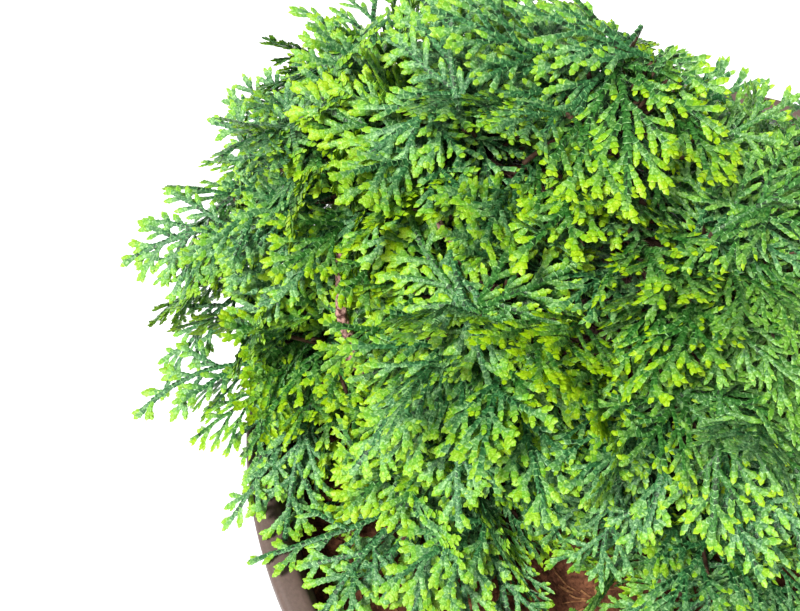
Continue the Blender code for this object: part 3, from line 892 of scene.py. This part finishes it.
def build_pot():
    lip = POT_HEIGHT - LIP_HEIGHT
    corners = [
        (0, FLOOR),
        (wall_radius(FLOOR) - WALL, FLOOR),
        (SHOULDER_RADIUS - WALL - SHOULDER_STEP, SHOULDER - 0.002),
        (SHOULDER_RADIUS - WALL, SHOULDER),
        (wall_radius(POT_HEIGHT) - WALL, POT_HEIGHT),
        (RIM_RADIUS, POT_HEIGHT),
        (RIM_RADIUS, lip),
        (wall_radius(lip), lip - 0.001),
        (SHOULDER_RADIUS, SHOULDER),
        (SHOULDER_RADIUS - SHOULDER_STEP, SHOULDER - 0.002),
        (BASE_RADIUS, 0.004),
        (BASE_RADIUS - 0.003, 0),
        (0, 0),
    ]
    points, faces = lathe(rounded(corners, POT_ROUNDING), POT_SIDES)
    pot = mesh_piece("pot_shell", points, faces, [PLASTIC], smooth=True)
    drills = []
    for index in range(DRAIN_COUNT):
        turn = ROUND * (index + 0.5) / DRAIN_COUNT
        shape = bmesh.new()
        bmesh.ops.create_cone(
            shape, cap_ends=True, segments=DRAIN_SIDES, radius1=DRAIN_RADIUS, radius2=DRAIN_RADIUS,
            depth=4 * FLOOR, matrix=Matrix.Translation(
                (DRAIN_CIRCLE * cos(turn), DRAIN_CIRCLE * sin(turn), 0)),
        )
        mesh = bpy.data.meshes.new("drill")
        shape.to_mesh(mesh)
        shape.free()
        drills.append(placed("drill", mesh))
        pot.modifiers.new("Drain", "BOOLEAN").object = drills[-1]
    graph = bpy.context.evaluated_depsgraph_get()
    drilled = bpy.data.meshes.new_from_object(pot.evaluated_get(graph))
    pot.modifiers.clear()
    pot.data = drilled
    for drill in drills:
        bpy.data.objects.remove(drill)
    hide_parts("pot")


SOIL_RINGS = 60
SOIL_SIDES = 220
SOIL_EDGE = wall_radius(SOIL_TOP) - WALL - 2 * GAP
CLODS = ((70, 0.0016), (190, 0.0011))  # how many to a metre, and how high
FIBRES = (520, 0.0009)
CRUMB_COUNT = 900
CRUMB_RADIUS = (0.0009, 0.0026)
STRAND_COUNT = 1100
STRAND_LENGTH = (0.004, 0.014)
STRAND_RADIUS = (0.00018, 0.00042)


def peat_relief(x, y):
    """How far the peat stands above its mean level: clods, then fibres."""
    place = Vector((x, y, 0))
    clods = sum(noise.noise(place * scale) * height for scale, height in CLODS)
    return clods + abs(noise.noise(place * FIBRES[0]) * FIBRES[1])


def peat_top(x, y):
    away = hypot(x, y) / SOIL_EDGE
    return SOIL_TOP - SOIL_CROWN * away ** 3 + peat_relief(x, y)


def random_place(border, rng):
    """A place on the peat, at least so far from its edge."""
    angle, away = rng.uniform(0, ROUND), (SOIL_EDGE - border) * sqrt(rng.random())
    return away * cos(angle), away * sin(angle)


def add_crumb(pile, rng):
    x, y = random_place(0.004, rng)
    if hypot(x, y) < FLARE_RADIUS + 0.003:
        return
    shape = bmesh.new()
    bmesh.ops.create_icosphere(shape, subdivisions=1, radius=rng.uniform(*CRUMB_RADIUS))
    size = (rng.uniform(0.7, 1.6), rng.uniform(0.6, 1.1), rng.uniform(0.4, 0.8))
    heading, lean = rng.uniform(0, ROUND), rng.uniform(-0.5, 0.5)
    turn = Matrix.Rotation(heading, 3, "Z") @ Matrix.Rotation(lean, 3, "X") @ Matrix.Diagonal(size)
    middle = Vector((x, y, peat_top(x, y)))
    points = [middle + turn @ (vert.co * rng.uniform(0.8, 1.15)) for vert in shape.verts]
    faces = [tuple(vert.index for vert in face.verts) for face in shape.faces]
    shape.free()
    pile.add(points, faces, rng.choice((0, 1, 1, 2)))


def add_strand(pile, rng):
    x, y = random_place(0.008, rng)
    heading, length = rng.uniform(0, ROUND), rng.uniform(*STRAND_LENGTH)
    bend = rng.uniform(-1.2, 1.2)
    points = []
    for _ in range(4):
        if hypot(x, y) > SOIL_EDGE - 0.001:
            return
        points.append(Vector((x, y, peat_top(x, y) + rng.uniform(0, 0.0007))))
        x += length / 3 * cos(heading)
        y += length / 3 * sin(heading)
        heading += bend / 3
    thick = rng.uniform(*STRAND_RADIUS)
    verts, faces = tube(points, [thick, thick, thick, thick * 0.5], 4)
    pile.add(verts, faces, rng.choice((1, 2, 2)))


def build_soil():
    inside = WALL + SHOULDER_STEP + 2 * GAP
    profile = [(0, SOIL_TOP)]
    for share in shares(SOIL_RINGS + 1)[1:]:
        profile.append((SOIL_EDGE * share, SOIL_TOP - SOIL_CROWN * share ** 3))
    profile += [
        (SHOULDER_RADIUS - WALL - 2 * GAP, SHOULDER + 0.002),
        (SHOULDER_RADIUS - inside, SHOULDER - 0.003),
        (wall_radius(FLOOR) - inside, FLOOR + 0.006),
        (wall_radius(FLOOR) - inside - 0.005, FLOOR + GAP),
        (0, FLOOR + GAP),
    ]

    def lift(x, y, z):
        if z < SOIL_TOP - 1.01 * SOIL_CROWN or hypot(x, y) > SOIL_EDGE - 0.0005:
            return x, y, z
        return x, y, z + peat_relief(x, y)

    pile = Pile()
    pile.add(*lathe(profile, SOIL_SIDES, lift))
    rng = seeded("crumbs")
    for _ in range(CRUMB_COUNT):
        add_crumb(pile, rng)
    for _ in range(STRAND_COUNT):
        add_strand(pile, rng)
    soil = pile.piece("peat", [PEAT, CLOD, FIBRE])
    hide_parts("soil")


# ------ wood
TRUNK_RINGS = 110
TRUNK_SIDES = 36
TRUNK_UPRIGHT = 0.05  # this share of it, at its foot, doesn't lean
TRUNK_SLACK = 0.94  # so much of the solid's radius, which leaves room for the relief
BOUGH_RINGS = 44
BOUGH_SIDES = 12
BOUGH_SLACK = 0.95
FORK_STEPS = 26
FORK_SIDES = 18
FORK_SCALES = 0.42  # how rough the old wood is
TWIG_BOW = (0.02, 0.10)
OLD, YOUNG = 0, 1  # finishes of the twigs


def bark_relief(point, along, size, scaly):
    """How far the bark stands out: long plates with furrows between them, and thin scales."""
    across = point - point.dot(along) * along
    plates = noise.noise(across * (2.2 / size) + along * point.dot(along) * 90)
    scales = noise.noise(point * 900)
    return size * (0.13 * plates + 0.10 * max(0, plates - 0.1) + scaly * scales)


def limb_mesh(points, radii, sides, scaly=0.035):
    """A tube whose skin has the bark's relief."""
    verts, faces = tube(points, radii, sides)
    for ring, (point, radius) in enumerate(zip(points, radii)):
        ahead = points[min(ring + 1, len(points) - 1)] - points[max(ring - 1, 0)]
        ahead.normalize()
        for index in range(ring * sides, (ring + 1) * sides):
            outward = (verts[index] - point).normalized()
            verts[index] = verts[index] + outward * bark_relief(verts[index], ahead, radius, scaly)
    return verts, faces


def smooth_path(points, steps):
    """A curve through all of the points, with so many steps from each to the next."""
    ends = [2 * points[0] - points[1], *points, 2 * points[-1] - points[-2]]
    found = []
    for before, start, end, after in zip(ends, ends[1:], ends[2:], ends[3:]):
        slope = end - before
        square = 2 * before - 5 * start + 4 * end - after
        cube = 3 * start - before - 3 * end + after
        for share in shares(steps + 1)[:-1]:
            point = 2 * start + slope * share + square * share ** 2 + cube * share ** 3
            found.append(0.5 * point)
    return found + [points[-1]]


def build_wood(masses):
    trunk, limbs, names = Pile(), Pile(), []
    along = shares(TRUNK_RINGS)
    points = [trunk_point(share) for share in along]
    for point, share in zip(points, along):
        if share < TRUNK_UPRIGHT:
            point.xy = (0, 0)
    radii = [trunk_radius(share) * TRUNK_SLACK for share in along]
    trunk.add(*limb_mesh(points, radii, TRUNK_SIDES))
    piece = trunk.piece("trunk_bark", [BARK], smooth=True)
    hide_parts("trunk")

    for mass in masses:
        if mass.foot:
            names.append(mass.name.replace("foliage", "bough"))
            along, radius = shares(BOUGH_RINGS), mass.bough_radius
            points = [bough_point(mass.foot, mass.tip, share) for share in along]
            radii = [radius * (1 - 0.5 * share) * BOUGH_SLACK for share in along]
            limbs.add(*limb_mesh(points, radii, BOUGH_SIDES))
    for points, radius in FORKS:
        path = smooth_path([Vector(point) for point in points], FORK_STEPS)
        radii = [radius * (1 - 0.5 * share) for share in shares(len(path))]
        limbs.add(*limb_mesh(path, radii, FORK_SIDES, FORK_SCALES))
    piece = limbs.piece("bough_bark", [BARK], smooth=True)
    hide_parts(*names)


def build_twig(pile, start, end, thick, thin, rng, finish_index):
    """A tapering twig that bends a little on its way."""
    way = end - start
    side = way.orthogonal().normalized()
    side = Matrix.Rotation(rng.uniform(0, ROUND), 3, way.normalized()) @ side
    bow = rng.uniform(*TWIG_BOW) * way.length
    points = [start + share * way + side * bow * sin(pi * share) for share in shares(6)]
    radii = [thick + (thin - thick) * share for share in shares(6)]
    pile.add(*tube(points, radii, 5), finish_index)


# ------ the plant
def node_tree(node):
    """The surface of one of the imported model's solids."""
    mesh = node.data
    points = [node.matrix_world @ vert.co for vert in mesh.vertices]
    return BVHTree.FromPolygons(points, [tuple(face.vertices) for face in mesh.polygons])


def grow_mass(mass, masses, solids, taken, twigs):
    """The meshes of one mass's sprays. Their twigs go on the pile."""
    rng, extra = seeded(mass.name), seeded(mass.name, "filling")
    space = Space(mass, masses, solids, taken)
    thick, thin = (share * TWIG_RADIUS for share in TWIG_TAPER)
    sprays = []
    for direction in twig_directions(mass, rng):
        end, fans = grow_twig(space, direction, rng)
        if fans:
            sprays += fans
            build_twig(twigs, mass.middle, end, thick, thin, rng, YOUNG)
    taken += [spray_middle(spray) for spray in sprays]
    filling = list(grow_skirt(space, extra)) if mass.low else []
    for spray in filling:
        spray.skirt = True
    for grow in (grow_cover, grow_tuft, grow_filling):
        filling += grow(space, extra)
    stem_end = TWIG_RADIUS * STEM_THICKENED
    build_twig(twigs, mass.tip, mass.middle, STEM_RADIUS, stem_end, extra, OLD)
    for spray in filling:
        foot = mass.middle + FILLING_TWIG_FOOT * (spray.root - mass.middle)
        build_twig(twigs, foot, spray.root, *FILLING_TWIG, extra, YOUNG)
    shapes = []
    for spray in sprays + filling:
        give_colour(spray, mass, extra)
        shapes.append(spray_mesh(spray, seeded(mass.name, "spray", len(shapes))))
    return shapes


def build_leaves(grown):
    """Joins the sprays of each mass and the next ones, as far as the limit of a piece allows."""
    finishes = []
    # The second colour of each leaf finish is its pale spots: partly wax, partly painted glints.
    for name, colour, wax in LEAF_COLOURS:
        finishes.append(finish(
            name, colour, wax, grain=0.0006, bump=0.0005, depth=0.0004, roughness=0.34,
            specular=0.5, spread=(0.48, 0.62)))
        shader = finishes[-1].node_tree.nodes["Principled BSDF"]
        shader.inputs["Specular Tint"].default_value = LEAF_GLOSS
    groups, total = [], PIECE_TRIANGLES
    for name, shapes in grown:
        size = sum(len(faces) for _, faces, _ in shapes)
        if total + size > PIECE_TRIANGLES:
            groups.append(([], Pile()))
            total = 0
        total += size
        names, pile = groups[-1]
        names.append(name)
        for shape in shapes:
            pile.add(*shape)
    for number, (names, pile) in enumerate(groups, 1):
        piece = pile.piece(f"leaves_{number}", finishes, smooth=True)
        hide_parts(*names)


def build_plant():
    masses = plan_masses()
    build_wood(masses)
    names = ["pot", "trunk"]
    names += [mass.name.replace("foliage", "bough") for mass in masses if mass.foot]
    solids = [node_tree(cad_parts[name]) for name in names]
    taken, twigs = [], Pile()
    build_leaves([(mass.name, grow_mass(mass, masses, solids, taken, twigs)) for mass in masses])
    piece = twigs.piece("twigs", [BARK, TWIG], smooth=True)


# Both colours, the size of their spots, size and depth of the bumps, roughness, specular, spread.
BARK = finish(
    "bark", (178, 138, 126), (74, 44, 38), 0.0012, 0.0006, 0.0010, 0.85, 0.2, (0.42, 0.6))
TWIG = finish("young_bark", (98, 72, 56), (60, 42, 32), 0.0012, 0.0007, 0.0005, 0.8, 0.2)
PLASTIC = finish("pot_plastic", (98, 80, 72), (90, 74, 66), 0.0009, 0.0005, 0.00006, 0.5, 0.4)
PEAT = finish("peat", (112, 72, 50), (70, 42, 28), 0.0016, 0.0008, 0.0008, 0.95, 0.15)
CLOD = finish("peat_clod", (126, 82, 56), (82, 50, 34), 0.0012, 0.0008, 0.0006, 0.95, 0.15)
FIBRE = finish("peat_fibre", (156, 112, 72), (104, 66, 40), 0.0012, 0.0008, 0.0004, 0.9, 0.2)
FLOOR_WHITE = finish("studio_floor", (250, 250, 250), (248, 248, 248), 0.05, 0.01, 0.0001, 0.9, 0.1)

build_pot()
build_soil()
build_plant()

# ------ floor, light and camera
FLOOR_REACH = 3
WORLD_LIGHT = 0.48  # the sky gives less light than its look in the camera would
AIM = (-0.02, 0, 0.24)
CAMERA_PLACE = (-0.0864, -0.1507, 0.4806)
CAMERA_TILT = radians(34)
CAMERA_LENS = 49.5

mesh = bpy.data.meshes.new("studio_floor")
corners = [(x * FLOOR_REACH, y * FLOOR_REACH, 0) for x, y in ((-1, -1), (1, -1), (1, 1), (-1, 1))]
mesh.from_pydata(corners, [], [(0, 1, 2, 3)])
mesh.materials.append(FLOOR_WHITE)
ground = placed("studio_floor", mesh)

world = bpy.data.worlds.new("studio")
scene.world = world
world.use_nodes = True
nodes, links = world.node_tree.nodes, world.node_tree.links
sky = nodes["Background"]
sky.inputs["Color"].default_value = (1, 1, 1, 1)
seen = nodes.new("ShaderNodeLightPath")
strength = nodes.new("ShaderNodeMapRange")
strength.inputs["To Min"].default_value = WORLD_LIGHT
links.new(seen.outputs["Is Camera Ray"], strength.inputs["Value"])
links.new(strength.outputs["Result"], sky.inputs["Strength"])


def add_lamp(name, kind, place, target, power):
    light = bpy.data.lights.new(name, kind)
    light.energy = power
    lamp = placed(name, light)
    lamp.location = place
    lamp.rotation_euler = (Vector(target) - Vector(place)).to_track_quat("-Z", "Y").to_euler()
    return light


# A sun is the key light, so that the floor is as light far away as it is beside the pot.
key = add_lamp("key", "SUN", (-0.5, -0.45, 1.25), AIM, 5.5)
key.angle = 0.24
fill = add_lamp("fill", "AREA", (0.9, -0.7, 0.8), (0, 0, 0.2), 2)
fill.shape = "DISK"
fill.size = 0.9

camera = bpy.data.cameras.new("camera")
camera.lens = CAMERA_LENS
eye = placed("camera", camera)
eye.location = CAMERA_PLACE
eye.rotation_euler = (CAMERA_TILT, 0, 0)
scene.camera = eye
scene.view_settings.view_transform = "Standard"
